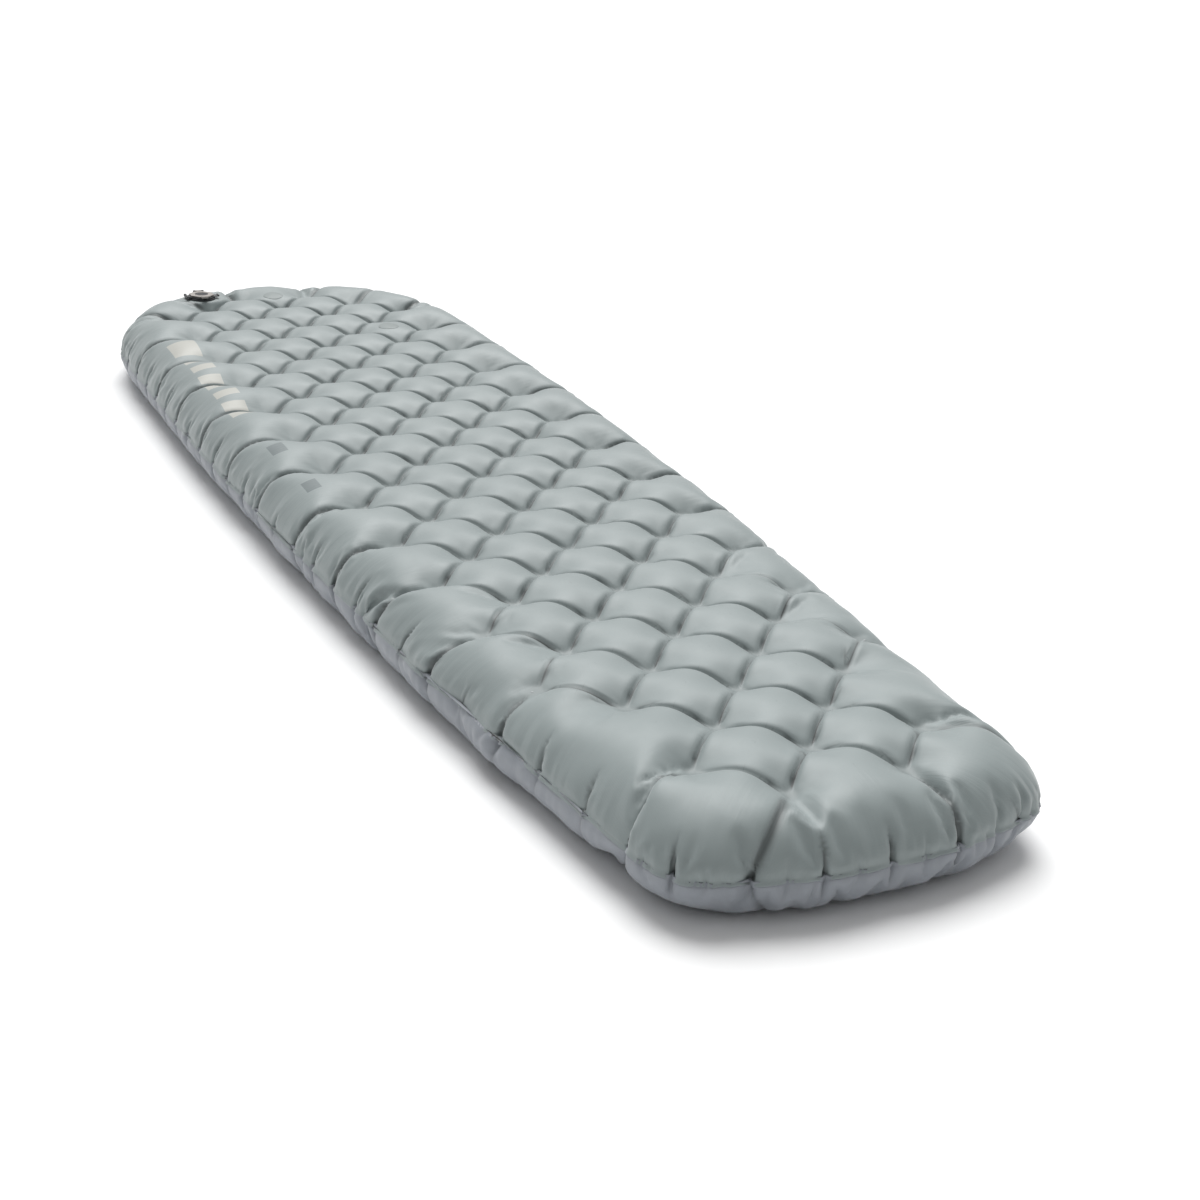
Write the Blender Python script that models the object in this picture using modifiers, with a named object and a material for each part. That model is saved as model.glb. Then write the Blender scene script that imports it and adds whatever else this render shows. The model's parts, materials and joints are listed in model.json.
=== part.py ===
"""Inflatable sleeping pad: two welded fabric sheets held together by rows of inner tethers, with
insulation and reflective layers inside and a two-stage flat valve near the head.

Metres, +Z up. The origin is on the ground under the middle of the pad, +Y points to the head
and +X to the right-hand side of somebody looking from the foot to the head."""

import math

import bmesh
import bpy
from mathutils import Matrix, Vector

# ---------------------------------------------------------------- driving dimensions
LENGTH = 1.857  # foot edge to head edge of the welded seam
WIDTH = 0.533  # widest place, at the shoulders
THICKNESS = 0.096  # inflated
SEAM_Z = 0.040  # height of the perimeter weld
FABRIC = 0.0008  # laminated nylon, with its coating
GAP = 0.0003  # clearance between touching pieces

FOOT_HALF_WIDTH = 0.187  # where the rounded foot end begins
FOOT_START = -0.8515
FOOT_POWER = 2.4  # exponent of the superellipse that rounds the foot
HEAD_START = 0.6435  # where the rounded head end begins
HEAD_POWER = 2.5
END_STEPS = 6  # straight pieces in each quarter of a rounded end
SIDE_WIDTHS = (  # distance along the pad, half width of the seam there
    (-0.790, 0.1910),
    (-0.710, 0.2020),
    (-0.610, 0.2140),
    (-0.460, 0.2285),
    (-0.340, 0.2380),
    (-0.200, 0.2460),
    (0.050, 0.2570),
    (0.200, 0.2640),
    (0.400, 0.2665),
)

FLANGE = 0.006  # width of the welded edge
WALL_REACH = 0.020  # how far the rounded side wall reaches inwards
WALL_STEPS = 4

COLUMN_PITCH = 0.058  # weld dots across the pad
ROW_PITCH = 0.0609  # weld dots along the pad
FIRST_ROW_Y = -0.8602
LAST_ROW = 28
PIT_TOP_Z = 0.0775  # height of the top sheet at a weld dot
PIT_BOTTOM_Z = 0.0210  # height of the bottom sheet at a weld dot
TETHER_WIDTH = 0.012
TETHER_THICKNESS = 0.0012
SPINE_Z = 0.049

INSULATION_Z = 0.0565
INSULATION_THICKNESS = 0.004
FILM_Z = 0.0640
FILM_THICKNESS = 0.0006
LAYER_INSET = 0.028  # edge of the inner layers, inwards from the seam
SLOT_CLEARANCE = 0.0012  # around a tether, where a layer is punched for it

VALVE = Vector((-0.120, 0.828, THICKNESS))  # on the top sheet's outer face
PLUG_HINGE = VALVE + Vector((-0.0238, 0, 0.0040))
CAP_HINGE = VALVE + Vector((0, 0.0212, 0.0066))
THROAT_RADIUS = 0.0125
BODY_RADIUS = 0.0150
COLLAR_RADIUS = 0.0215
BORE_RADIUS = 0.0085  # inflation way through the plug
ROUND = 32  # sides of a round piece
SMALL_ROUND = 16
WEB_STEP = 0.0002  # how much narrower than its eye a hinge web is, on each side

PATCH_RADIUS = 0.015
PATCH_THICKNESS = 0.0006
PATCHES = {"pillow_patch_head": (-0.004, 0.828), "pillow_patch_side": (0.112, 0.597)}

# ---------------------------------------------------------------- scene and materials
for old in list(bpy.data.objects):
    bpy.data.objects.remove(old)

scene_collection = bpy.context.scene.collection
parts = bpy.data.collections.new("sleeping_pad")
tools = bpy.data.collections.new("cutters")
scene_collection.children.link(parts)
scene_collection.children.link(tools)


def material(name, colour, roughness, metallic=0.0):
    made = bpy.data.materials.new(name)
    made.use_nodes = True
    shader = made.node_tree.nodes["Principled BSDF"]
    shader.inputs["Base Color"].default_value = (*colour, 1)
    shader.inputs["Roughness"].default_value = roughness
    shader.inputs["Metallic"].default_value = metallic
    made.diffuse_color = (*colour, 1)
    return made


TOP_FABRIC = material("top_fabric", (0.37, 0.43, 0.42), 0.55)
BOTTOM_FABRIC = material("bottom_fabric", (0.30, 0.33, 0.36), 0.6)
CLEAR_FILM = material("tether_film", (0.55, 0.57, 0.58), 0.4)
WADDING = material("wadding", (0.75, 0.75, 0.73), 0.9)
FOIL = material("foil", (0.72, 0.73, 0.75), 0.25, 0.9)
VALVE_DARK = material("valve_dark", (0.035, 0.037, 0.04), 0.45)
VALVE_FRAME = material("valve_frame", (0.16, 0.155, 0.15), 0.4)
SOFT_DARK = material("soft_dark", (0.02, 0.02, 0.022), 0.7)
STEEL = material("steel", (0.5, 0.5, 0.5), 0.3, 1.0)
PATCH_GREY = material("patch_grey", (0.31, 0.36, 0.355), 0.5)


# ---------------------------------------------------------------- making pieces
def add_object(name, data, paint, collection=parts):
    made = bpy.data.objects.new(name, data)
    collection.objects.link(made)
    if paint:
        data.materials.append(paint)
    return made


def hide(tool):
    """A cutter, or a shape that is joined to a piece, is not a piece itself."""
    tool.hide_render = True
    tool.display_type = "WIRE"
    return tool


def from_bmesh(name, bm, paint, collection):
    mesh = bpy.data.meshes.new(name)
    bm.to_mesh(mesh)
    bm.free()
    return add_object(name, mesh, paint, collection)


def cylinder(name, radius, low, high, centre, axis="Z", sides=ROUND, paint=None, collection=tools):
    """A cylinder from low to high along its axis, measured from centre."""
    bm = bmesh.new()
    middle = Matrix.Translation((0, 0, (low + high) / 2))
    bmesh.ops.create_cone(
        bm, cap_ends=True, segments=sides, radius1=radius, radius2=radius,
        depth=high - low, matrix=middle,
    )
    made = from_bmesh(name, bm, paint, collection)
    made.location = centre
    turns = {"X": (0, math.pi / 2, 0), "Y": (-math.pi / 2, 0, 0), "Z": (0, 0, 0)}
    made.rotation_euler = turns[axis]
    return made if collection is parts else hide(made)


def box(name, low, high, centre, paint=None, collection=tools):
    """A box between two corners, measured from centre."""
    low, high = Vector(low), Vector(high)
    place = Matrix.Translation((low + high) / 2) @ Matrix.Diagonal((*(high - low), 1))
    bm = bmesh.new()
    bmesh.ops.create_cube(bm, size=1, matrix=place)
    made = from_bmesh(name, bm, paint, collection)
    made.location = centre
    return made if collection is parts else hide(made)


def turned(name, profile, centre, paint=None, closed=True, sides=ROUND, collection=parts):
    """Turns a profile of (radius, height) pairs about the vertical through centre. The
    profile runs down its outer side; a solid one starts and ends on the axis."""
    mesh = bpy.data.meshes.new(name)
    count = len(profile)
    edges = [(i, (i + 1) % count) for i in range(count if closed else count - 1)]
    mesh.from_pydata([(r, 0, z) for r, z in profile], edges, [])
    made = add_object(name, mesh, paint, collection)
    made.location = centre
    screw = made.modifiers.new("turn", "SCREW")
    screw.axis = "Z"
    screw.steps = screw.render_steps = sides
    screw.use_merge_vertices = True
    screw.merge_threshold = 0.00001
    return made if collection is parts else hide(made)


def washer(name, inner, outer, low, high, centre, paint=None, sides=ROUND, collection=parts):
    profile = [(inner, high), (outer, high), (outer, low), (inner, low)]
    return turned(name, profile, centre, paint, True, sides, collection)


def boolean(target, operation, *shapes):
    for shape in shapes:
        step = target.modifiers.new(shape.name, "BOOLEAN")
        step.operation = operation
        step.solver = "EXACT"
        step.object = shape


def bevel(target, width, segments=1):
    step = target.modifiers.new("edges", "BEVEL")
    step.width = width
    step.segments = segments
    step.limit_method = "ANGLE"
    step.angle_limit = math.radians(40)


def octagon(name, across_flats, low, high, paint, collection=parts):
    """An eight-sided plate on the valve's axis, with a flat on each side."""
    radius = across_flats / 2 / math.cos(math.pi / 8)
    made = cylinder(name, radius, low, high, VALVE, sides=8, paint=paint, collection=collection)
    made.rotation_euler = (0, 0, math.pi / 8)
    return made


def flat_curve(name, outlines, thickness, paint):
    """A flat plate from closed outlines; the second and later ones are holes."""
    curve = bpy.data.curves.new(name, "CURVE")
    curve.dimensions = "2D"
    curve.fill_mode = "BOTH"
    curve.extrude = thickness / 2
    for points in outlines:
        spline = curve.splines.new("POLY")
        spline.points.add(len(points) - 1)
        for point, (x, y) in zip(spline.points, points):
            point.co = (x, y, 0, 1)
        spline.use_cyclic_u = True
    return add_object(name, curve, paint)


# ---------------------------------------------------------------- plan shape
def quarter(half_width, start, reach, power):
    """Points of a rounded end, from the side to the middle line, without the last."""
    points = []
    for i in range(END_STEPS):
        angle = math.pi / 2 * i / END_STEPS
        x = half_width * math.cos(angle) ** (2 / power)
        y = start + reach * math.sin(angle) ** (2 / power)
        points.append((x, y))
    return points


def plan_outline():
    """The seam's outline, counter-clockwise seen from above, from the foot's middle."""
    head_reach = LENGTH / 2 - HEAD_START
    foot_reach = -LENGTH / 2 - FOOT_START
    foot = quarter(FOOT_HALF_WIDTH, FOOT_START, foot_reach, FOOT_POWER)
    side = [(x, y) for y, x in SIDE_WIDTHS]
    head = quarter(WIDTH / 2, HEAD_START, head_reach, HEAD_POWER)
    right = foot[::-1] + side + head
    left = [(-x, y) for x, y in right[::-1]]
    return [(0, -LENGTH / 2)] + right + [(0, LENGTH / 2)] + left


def inset_outline(inset):
    across = 1 - inset / (WIDTH / 2)
    along = 1 - inset / (LENGTH / 2)
    return [(x * across, y * along) for x, y in plan_outline()]


def dots(column):
    """The y of each weld dot in a column, numbered from -3 to 3 across the pad."""
    first, last = (4, 26) if abs(column) == 3 else (0, LAST_ROW)
    rows = [row for row in range(first, last + 1) if (row + column) % 2]
    return [FIRST_ROW_Y + row * ROW_PITCH for row in rows]


# ---------------------------------------------------------------- the two sheets
def sheet(name, face_z, edge_z, paint):
    """One fabric sheet: a flat face, a rounded side wall and the flat welded edge."""
    profile = []
    for i in range(WALL_STEPS + 1):
        angle = math.pi / 2 * (1 - i / WALL_STEPS)
        inset = FLANGE + WALL_REACH * (1 - math.cos(angle))
        profile.append((inset, edge_z + (face_z - edge_z) * math.sin(angle)))
    profile.append((0, edge_z))
    bm = bmesh.new()
    inset, z = profile[0]
    ring = [bm.verts.new((x, y, z)) for x, y in inset_outline(inset)]
    bm.faces.new(ring)
    rim = list(bm.edges)
    for next_inset, next_z in profile[1:]:
        grown = bmesh.ops.extrude_edge_only(bm, edges=rim)["geom"]
        across = (WIDTH / 2 - next_inset) / (WIDTH / 2 - inset)
        along = (LENGTH / 2 - next_inset) / (LENGTH / 2 - inset)
        for vertex in (g for g in grown if isinstance(g, bmesh.types.BMVert)):
            vertex.co = (vertex.co.x * across, vertex.co.y * along, next_z)
        rim = [g for g in grown if isinstance(g, bmesh.types.BMEdge) and g.is_boundary]
        inset = next_inset
    bmesh.ops.recalc_face_normals(bm, faces=bm.faces)
    face = max(bm.faces, key=lambda f: f.calc_area())
    if face.normal.z * (face_z - edge_z) < 0:
        bmesh.ops.reverse_faces(bm, faces=bm.faces)
    made = from_bmesh(name, bm, paint, parts)
    skin = made.modifiers.new("fabric", "SOLIDIFY")
    skin.thickness = FABRIC
    skin.offset = -1
    return made


def build_sheets():
    top = sheet("top_sheet", THICKNESS, SEAM_Z + FABRIC + GAP / 2, TOP_FABRIC)
    sheet("bottom_sheet", 0, SEAM_Z - FABRIC - GAP / 2, BOTTOM_FABRIC)
    hole = cylinder("cut_valve_hole", BODY_RADIUS + GAP, -0.01, 0.01, VALVE)
    boolean(top, "DIFFERENCE", hole)
    for name, (x, y) in PATCHES.items():
        low, high = GAP, GAP + PATCH_THICKNESS
        centre = Vector((x, y, THICKNESS))
        cylinder(name, PATCH_RADIUS, low, high, centre, paint=PATCH_GREY, collection=parts)


# ---------------------------------------------------------------- inner tethers and layers
def tether_outline(stations):
    """A comb seen from the side: a spine along the pad with a post up and down at each dot."""
    half = TETHER_THICKNESS / 2
    upper = []
    lower = []
    for y in stations:
        upper += [(y - half, SPINE_Z + half), (y - half, PIT_TOP_Z), (y + half, PIT_TOP_Z),
                  (y + half, SPINE_Z + half)]
        lower += [(y - half, SPINE_Z - half), (y - half, PIT_BOTTOM_Z),
                  (y + half, PIT_BOTTOM_Z), (y + half, SPINE_Z - half)]
    upper = upper[1:-1]  # the end posts are straight from top to bottom
    lower = lower[1:-1]
    return upper + lower[::-1]


def build_tethers():
    for number, column in enumerate(range(-3, 4), start=1):
        strip = flat_curve(
            f"tether_strip_{number}", [tether_outline(dots(column))], TETHER_WIDTH, CLEAR_FILM
        )
        strip.rotation_euler = (math.pi / 2, 0, math.pi / 2)
        strip.location = (column * COLUMN_PITCH, 0, 0)


def layer(name, z, thickness, paint):
    """A flat inner layer, punched with a slot for each tether."""
    half_x = TETHER_WIDTH / 2 + SLOT_CLEARANCE
    half_y = TETHER_THICKNESS / 2 + SLOT_CLEARANCE
    outlines = [inset_outline(LAYER_INSET)]
    for column in range(-3, 4):
        x = column * COLUMN_PITCH
        for y in dots(column):
            outlines.append([(x - half_x, y - half_y), (x + half_x, y - half_y),
                             (x + half_x, y + half_y), (x - half_x, y + half_y)])
    made = flat_curve(name, outlines, thickness, paint)
    made.location.z = z


# ---------------------------------------------------------------- valve
def knuckle(name, radius, low, high, hinge, axis, web_low, web_high):
    """The round eye of a hinge leaf and the slightly narrower web that carries it. The web's
    corners are measured from the valve, and its width along the hinge follows the eye's."""
    along = "XY".index(axis)
    web_low, web_high = Vector(web_low), Vector(web_high)
    web_low[along], web_high[along] = low + WEB_STEP, high - WEB_STEP
    eye = cylinder(f"{name}_eye", radius, low, high, hinge, axis, SMALL_ROUND)
    web = box(f"{name}_web", web_low, web_high, VALVE)
    return eye, web


def build_valve_body():
    washer("valve_weld_flange", BODY_RADIUS + GAP, 0.0250, -FABRIC - GAP - 0.0010,
           -FABRIC - GAP, VALVE, CLEAR_FILM)
    body = turned("valve_body", [
        (THROAT_RADIUS, 0.0026), (COLLAR_RADIUS - 0.0008, 0.0026), (COLLAR_RADIUS, 0.0018),
        (COLLAR_RADIUS, GAP), (BODY_RADIUS, GAP), (BODY_RADIUS, -0.0105),
        (0.0108, -0.0105), (0.0108, -0.0096), (THROAT_RADIUS, -0.0090),
    ], VALVE, VALVE_DARK)
    for side, name in ((-1, "lug_front"), (1, "lug_back")):
        near, far = sorted((side * 0.0066, side * 0.0106))
        shapes = knuckle(name, 0.0024, near, far, PLUG_HINGE, "Y",
                         (-0.0250, 0, GAP + 0.0001), (-0.0192, 0, 0.0024))
        boolean(body, "UNION", *shapes)
    pin_hole = cylinder("cut_plug_pin", 0.00115, -0.02, 0.02, PLUG_HINGE, "Y", SMALL_ROUND)
    boolean(body, "DIFFERENCE", pin_hole)
    cylinder("plug_hinge_pin", 0.00085, -0.0106, 0.0106, PLUG_HINGE, "Y", SMALL_ROUND,
             STEEL, parts)


def build_plug():
    """The large stopper: it opens for letting the air out, and carries the inflation way."""
    plug = octagon("deflate_plug", 0.0400, 0.0029, 0.0047, VALVE_DARK)
    bevel(plug, 0.0003)
    skirt = turned("join_skirt", [
        (0.0092, 0.0036), (0.0119, 0.0036), (0.0119, -0.0012), (0.0107, -0.0012),
        (0.0107, -0.0020), (0.0118, -0.0020), (0.0117, -0.0030), (0.0101, -0.0086),
        (0.0070, -0.0086), (0.0070, -0.0074), (0.0092, -0.0074),
    ], VALVE, collection=tools)
    hub = cylinder("join_hub", 0.0030, -0.0086, -0.0060, VALVE, sides=SMALL_ROUND)
    spokes = []
    for i in range(3):
        spoke = box(f"join_spoke_{i}", (0.0020, -0.0009, -0.0084), (0.0080, 0.0009, -0.0070),
                    VALVE)
        spoke.rotation_euler.z = 2 * math.pi * i / 3
        spokes.append(spoke)
    tab = box("join_plug_tab", (0.0190, -0.0055, 0.0030), (0.0270, 0.0055, 0.0042), VALVE)
    grip = box("join_plug_grip", (0.0253, -0.0054, 0.0031), (0.0273, 0.0054, 0.0056), VALVE)
    leaf = knuckle("join_plug_leaf", 0.0022, -0.0062, 0.0062, PLUG_HINGE, "Y",
                   (-0.0238, 0, 0.0031), (-0.0190, 0, 0.0045))
    boolean(plug, "UNION", skirt, tab, grip, *leaf)
    for side, name in ((-1, "cap_lug_left"), (1, "cap_lug_right")):
        near, far = sorted((side * 0.0053, side * 0.0083))
        shapes = knuckle(name, 0.0019, near, far, CAP_HINGE, "X",
                         (0, 0.0185, 0.0032), (0, 0.0224, 0.0060))
        boolean(plug, "UNION", *shapes)
    bore = cylinder("cut_bore", BORE_RADIUS, -0.0060, 0.0060, VALVE)
    boolean(plug, "DIFFERENCE", bore)
    boolean(plug, "UNION", hub, *spokes)
    stem_hole = cylinder("cut_stem", 0.0016, -0.0100, 0.0, VALVE, sides=SMALL_ROUND)
    plug_pin = cylinder("cut_plug_pin_2", 0.00115, -0.02, 0.02, PLUG_HINGE, "Y", SMALL_ROUND)
    cap_pin = cylinder("cut_cap_pin", 0.00095, -0.02, 0.02, CAP_HINGE, "X", SMALL_ROUND)
    boolean(plug, "DIFFERENCE", stem_hole, plug_pin, cap_pin)
    washer("plug_seal_ring", 0.0110, 0.0121, -0.0019, -0.0013, VALVE, SOFT_DARK)
    cylinder("cap_hinge_pin", 0.00065, -0.0083, 0.0083, CAP_HINGE, "X", SMALL_ROUND, STEEL,
             parts)


def build_poppet():
    """The one-way valve: a soft disc under the plug, pulled shut by a spring round its stem.
    Pressing the stem's head opens it."""
    turned("poppet_stem", [
        (0, 0.0014), (0.0034, 0.0014), (0.0040, 0.0009), (0.0040, 0.0002), (0.0013, 0.0002),
        (0.0013, -0.0118), (0, -0.0118),
    ], VALVE, VALVE_FRAME, closed=False, sides=24)
    washer("check_disc", 0.0016, 0.0085, -0.0098, -0.0089, VALVE, SOFT_DARK)
    washer("stem_clip", 0.0016, 0.0030, -0.0110, -0.0101, VALVE, STEEL, SMALL_ROUND)
    turns, points_per_turn = 4, 12
    low, high, radius = -0.0054, -0.0004, 0.0023
    curve = bpy.data.curves.new("poppet_spring", "CURVE")
    curve.dimensions = "3D"
    curve.bevel_depth = 0.00028
    curve.bevel_resolution = 2
    curve.use_fill_caps = True
    spline = curve.splines.new("POLY")
    count = turns * points_per_turn
    spline.points.add(count)
    for i, point in enumerate(spline.points):
        angle = 2 * math.pi * i / points_per_turn
        height = low + (high - low) * i / count
        point.co = (radius * math.cos(angle), radius * math.sin(angle), height, 1)
    add_object("poppet_spring", curve, STEEL).location = VALVE


def build_cap():
    """The small cap over the inflation way, with a soft round inlay in its top."""
    cap = octagon("inflate_cap", 0.0360, 0.0050, 0.0072, VALVE_FRAME)
    bevel(cap, 0.0004, 2)
    boss = turned("join_boss", [
        (0, 0.0055), (0.0081, 0.0055), (0.0081, 0.0040), (0.0074, 0.0040), (0.0074, 0.0029),
        (0.0080, 0.0029), (0.0079, 0.0020), (0, 0.0020),
    ], VALVE, closed=False, collection=tools)
    tab = box("join_cap_tab", (-0.0048, -0.0246, 0.0051), (0.0048, -0.0172, 0.0064), VALVE)
    grip = box("join_cap_grip", (-0.0047, -0.0249, 0.0052), (0.0047, -0.0230, 0.0076), VALVE)
    leaf = knuckle("join_cap_leaf", 0.0017, -0.0050, 0.0050, CAP_HINGE, "X",
                   (0, 0.0165, 0.0052), (0, 0.0212, 0.0070))
    boolean(cap, "UNION", boss, tab, grip, *leaf)
    recess = cylinder("cut_recess", 0.0105, 0.0060, 0.0090, VALVE)
    pin_hole = cylinder("cut_cap_pin_2", 0.00095, -0.02, 0.02, CAP_HINGE, "X", SMALL_ROUND)
    boolean(cap, "DIFFERENCE", recess, pin_hole)
    turned("cap_inlay", [
        (0, 0.0066), (0.0060, 0.0066), (0.0080, 0.0070), (0.0095, 0.0070), (0.0102, 0.0066),
        (0.0102, 0.0063), (0, 0.0063),
    ], VALVE, SOFT_DARK, closed=False)
    washer("cap_seal_ring", 0.0077, 0.0082, 0.0031, 0.0038, VALVE, SOFT_DARK)


build_sheets()
build_tethers()
layer("insulation_layer", INSULATION_Z, INSULATION_THICKNESS, WADDING)
layer("reflective_film", FILM_Z, FILM_THICKNESS, FOIL)
build_valve_body()
build_plug()
build_poppet()
build_cap()

for piece in parts.objects:
    if piece.type == "MESH":
        piece.data.shade_smooth()
        piece.data.set_sharp_from_angle(angle=math.radians(35))
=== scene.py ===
"""The looks of the inflatable sleeping pad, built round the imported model.

Both fabric sheets are cut as flat patterns, welded together round the edge and at the dots, and
blown up by a small cloth simulation in numpy. The valve's own parts keep their shapes."""

import json
import math

import bmesh
import bpy
import numpy as np
from mathutils import Matrix, Vector
from mathutils.bvhtree import BVHTree
from mathutils.geometry import convex_hull_2d, delaunay_2d_cdt
from mathutils.kdtree import KDTree


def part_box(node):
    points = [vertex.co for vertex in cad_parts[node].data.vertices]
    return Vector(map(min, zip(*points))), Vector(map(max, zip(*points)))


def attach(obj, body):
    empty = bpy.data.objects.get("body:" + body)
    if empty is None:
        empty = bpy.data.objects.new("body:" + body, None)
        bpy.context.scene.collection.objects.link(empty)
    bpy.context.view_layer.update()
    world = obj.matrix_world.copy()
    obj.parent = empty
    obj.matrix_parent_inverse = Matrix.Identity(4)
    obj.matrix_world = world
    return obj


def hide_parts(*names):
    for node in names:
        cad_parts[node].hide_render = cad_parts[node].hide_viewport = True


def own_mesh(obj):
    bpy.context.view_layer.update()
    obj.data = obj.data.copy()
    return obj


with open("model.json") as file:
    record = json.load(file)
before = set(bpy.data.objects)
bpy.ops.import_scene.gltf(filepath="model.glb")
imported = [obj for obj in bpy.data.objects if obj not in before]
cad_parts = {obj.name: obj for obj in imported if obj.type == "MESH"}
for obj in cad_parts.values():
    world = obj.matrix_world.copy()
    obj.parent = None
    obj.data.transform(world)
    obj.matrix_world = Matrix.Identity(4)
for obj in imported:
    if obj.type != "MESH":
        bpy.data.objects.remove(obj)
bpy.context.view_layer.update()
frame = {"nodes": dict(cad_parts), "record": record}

# ---------------- driving dimensions
CELLS = 14  # mesh cells between two neighbouring weld dots
SURPLUS = 1.060  # cut length over spacing, between two weld dots
SEAM_Z = 0.045  # height of the welded edge
WALL_RADIUS = 0.046  # fullest curve of the side walls
RIM_STEP = 0.005  # mesh spacing along the welded edge and between the rows beside it
RIM_ROWS = 4
RIM_CLEARANCE = 0.004  # least space between those rows and the mesh inside them
DOT_RADIUS = 0.0075  # points this near to a weld dot are welded
VALLEY = 0.012  # rise of the valley between two dots, and of a pillow, at the start
CREST = 0.0175

VALVE_HOLE = 0.0153
VALVE_RINGS = (VALVE_HOLE, 0.0190, 0.0226, 0.0262)  # mesh rings, the last outside the flange
VALVE_CLEARANCE = 0.0035  # least space between the last ring and the mesh round it
VALVE_SINK = 0.0002  # how far the fabric lies below the top sheet's highest point there
RING_POINTS = 24
TETHER_GAP = 0.0003  # between a weld dot's fabric and its tether

START_NOISE = 0.0002  # unevenness of the sheets before they are blown up
STEPS = 330
PRESSURE = 0.0000015  # how far the air pushes a free point in one step
BOOST = 8  # how much harder it blows at first, and for how many steps
BOOST_STEPS = 150
PUSH_EVERY = 3  # steps between two looks at where the fabric faces
MOMENTUM = 0.92
STRETCH = 1.0  # share of a length error taken out at each step: too long
SQUEEZE = 0.5  # too short, along an edge
BEND = 0.004  # too short, across an edge
PINCH = 0.50  # length left of the welded edge where it gathers into a fold out from a dot
PINCH_MORE = 0.62  # and in a fold between those
FOLD_SPACING = 0.070  # along the welded edge
FOLD_ROWS = 3  # rows of points, from the welded edge inwards, that a fold gathers
FOLD_DEPTH = 0.003  # how far inwards a fold starts
FOLD_FORCE = 2  # how many times a fold's pull counts
WALL_REACH = 0.18  # more than any wall's cut width, and less than the pad's
FOOT_WIDTH = 0.018  # how far in from the seam the lower wall reaches the floor
DIP_WIDTH = 0.030  # how far out from a lower weld dot the fabric reaches the floor
RIM_HOLD = 0.25  # share by which the welded edge is brought back to its height in each step

SEED = 7  # of the unevenness; the next ones are for the creases and for the hanging edge
CREASE_SEED, DROOP_SEED, LIP_SEED = 21, 11, 12
NEIGHBOUR = 1.2  # dots this many pitches apart, or less, each way share a valley
CREASE_FROM = math.radians(14)  # valley angle from which subdivision keeps an edge sharp
CREASE_FULL = math.radians(45)  # and at which it keeps it fully sharp
CREASE_DEPTH = 0.0027  # groove along each valley between two dots
CREASE_WIDTH = 0.0031
CREASE_SHADE_LINE = 0.0021  # half width of the line of painted shade in the bottom of a crease
CREASE_SHADE = 0.95  # how much darker that painted shade makes the fabric there
HOLLOW_SHADE = 0.64  # and the painted shade in the hollow round it
HOLLOW_DEPTHS = (0.0006, 0.0036)  # where that shade starts and is full
CREASE_MARKED = 0.0055  # points this near to a crease know where it runs, and take its line of painted shade
SIDE_CREASE = (0.0013, 0.0028, 0.55)  # depth, half width and painted shade of the finer creases
SIDE_CREASE_REACH = (0.024, 0.038)
SIDE_CREASE_SLANT = (0.10, 0.32)
WALL_CREASE = ((0.0028, 0.007), (0.0028, 0.0034))  # depths and half widths out to the seam
SHORT_FOLD = ((0.0014, 0.005), (0.0022, 0.0032))  # and where a fold rises from the seam
SHORT_FOLD_REACH = (0.028, 0.048)
LOWER_SHARE = 0.5  # depth of the lower sheet's creases compared with the upper's

LIP_WIDTH = 0.0035  # of the welded edge outside the seam
LIP_THICKNESS = 0.0007
LIP_DROOP = 60  # degrees below level
LIP_DROOP_VARIES = 10
GATHERS = (  # wave length, height and reach of the fine gathers beside the welded edge
    (0.011, 0.0008, 0.060),
    (0.024, 0.0012, 0.085),
)
DOT_CREASES = 14  # round each weld dot
DOT_CREASE_HEIGHT = 0.0009
DOT_CREASE_REACH = 0.042
PATCH_RINGS = 7  # of mesh points in a pillow patch
PATCH_POINTS = 36
PATCH_LIFT = 0.0004  # of a patch's face over the fabric

TOP_COLOUR = (0.270, 0.312, 0.312)
TOP_SHADE = (0.252, 0.293, 0.294)
BOTTOM_COLOUR = (0.285, 0.307, 0.338)
BOTTOM_SHADE = (0.265, 0.287, 0.318)
PATCH_COLOUR = (0.205, 0.242, 0.240)
PATCH_SHADE = (0.190, 0.225, 0.222)
WELD_RADIUS = 0.0065  # of the ring that a weld leaves
DOT_SHADE = 0.45  # how much darker the painted shade makes the pit round a weld dot
OFF_WHITE = (0.46, 0.46, 0.42)
DARK_INK = (0.150, 0.182, 0.186)
PRINT_LINE = -0.232  # where the printed bars lie across the flat pattern
PRINTS = (  # centres and half sizes of the printed bars, in the flat pattern
    (OFF_WHITE, [((PRINT_LINE, 0.225 + 0.044 * k), (0.016, 0.012)) for k in range(7)]
     + [((PRINT_LINE, 0.560), (0.020, 0.030))]),
    (DARK_INK, [
        ((PRINT_LINE, 0.060), (0.010, 0.016)),
        ((PRINT_LINE + 0.004, -0.075), (0.009, 0.014)),
    ]),
)

CAMERA_PLACE = (-0.7716, -1.8909, 0.7620)
CAMERA_YAW, CAMERA_PITCH, CAMERA_ROLL = 0.4748, 0.3983, 0.063
CAMERA_LENS = 52.02
SKY_FAR, SKY_NEAR = 0.10, 0.62  # brightness of the sky opposite the key light, and near it
KEY_DIRECTION = (0.22, 0.62, 1.0)  # towards the light
KEY_STRENGTH = 3.0
KEY_ANGLE = math.radians(48)


def linked(name, data):
    """A new object in the scene."""
    made = bpy.data.objects.new(name, data)
    bpy.context.scene.collection.objects.link(made)
    return made


def read(of, name):
    """A vector of every element, as rows."""
    values = np.empty(len(of) * 3)
    of.foreach_get(name, values)
    return values.reshape(-1, 3)


def norms(rows):
    return np.linalg.norm(rows, axis=1)


# ---------------- facts read from the frame
def node_points(name):
    return read(frame["nodes"][name].data.vertices, "co")


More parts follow.
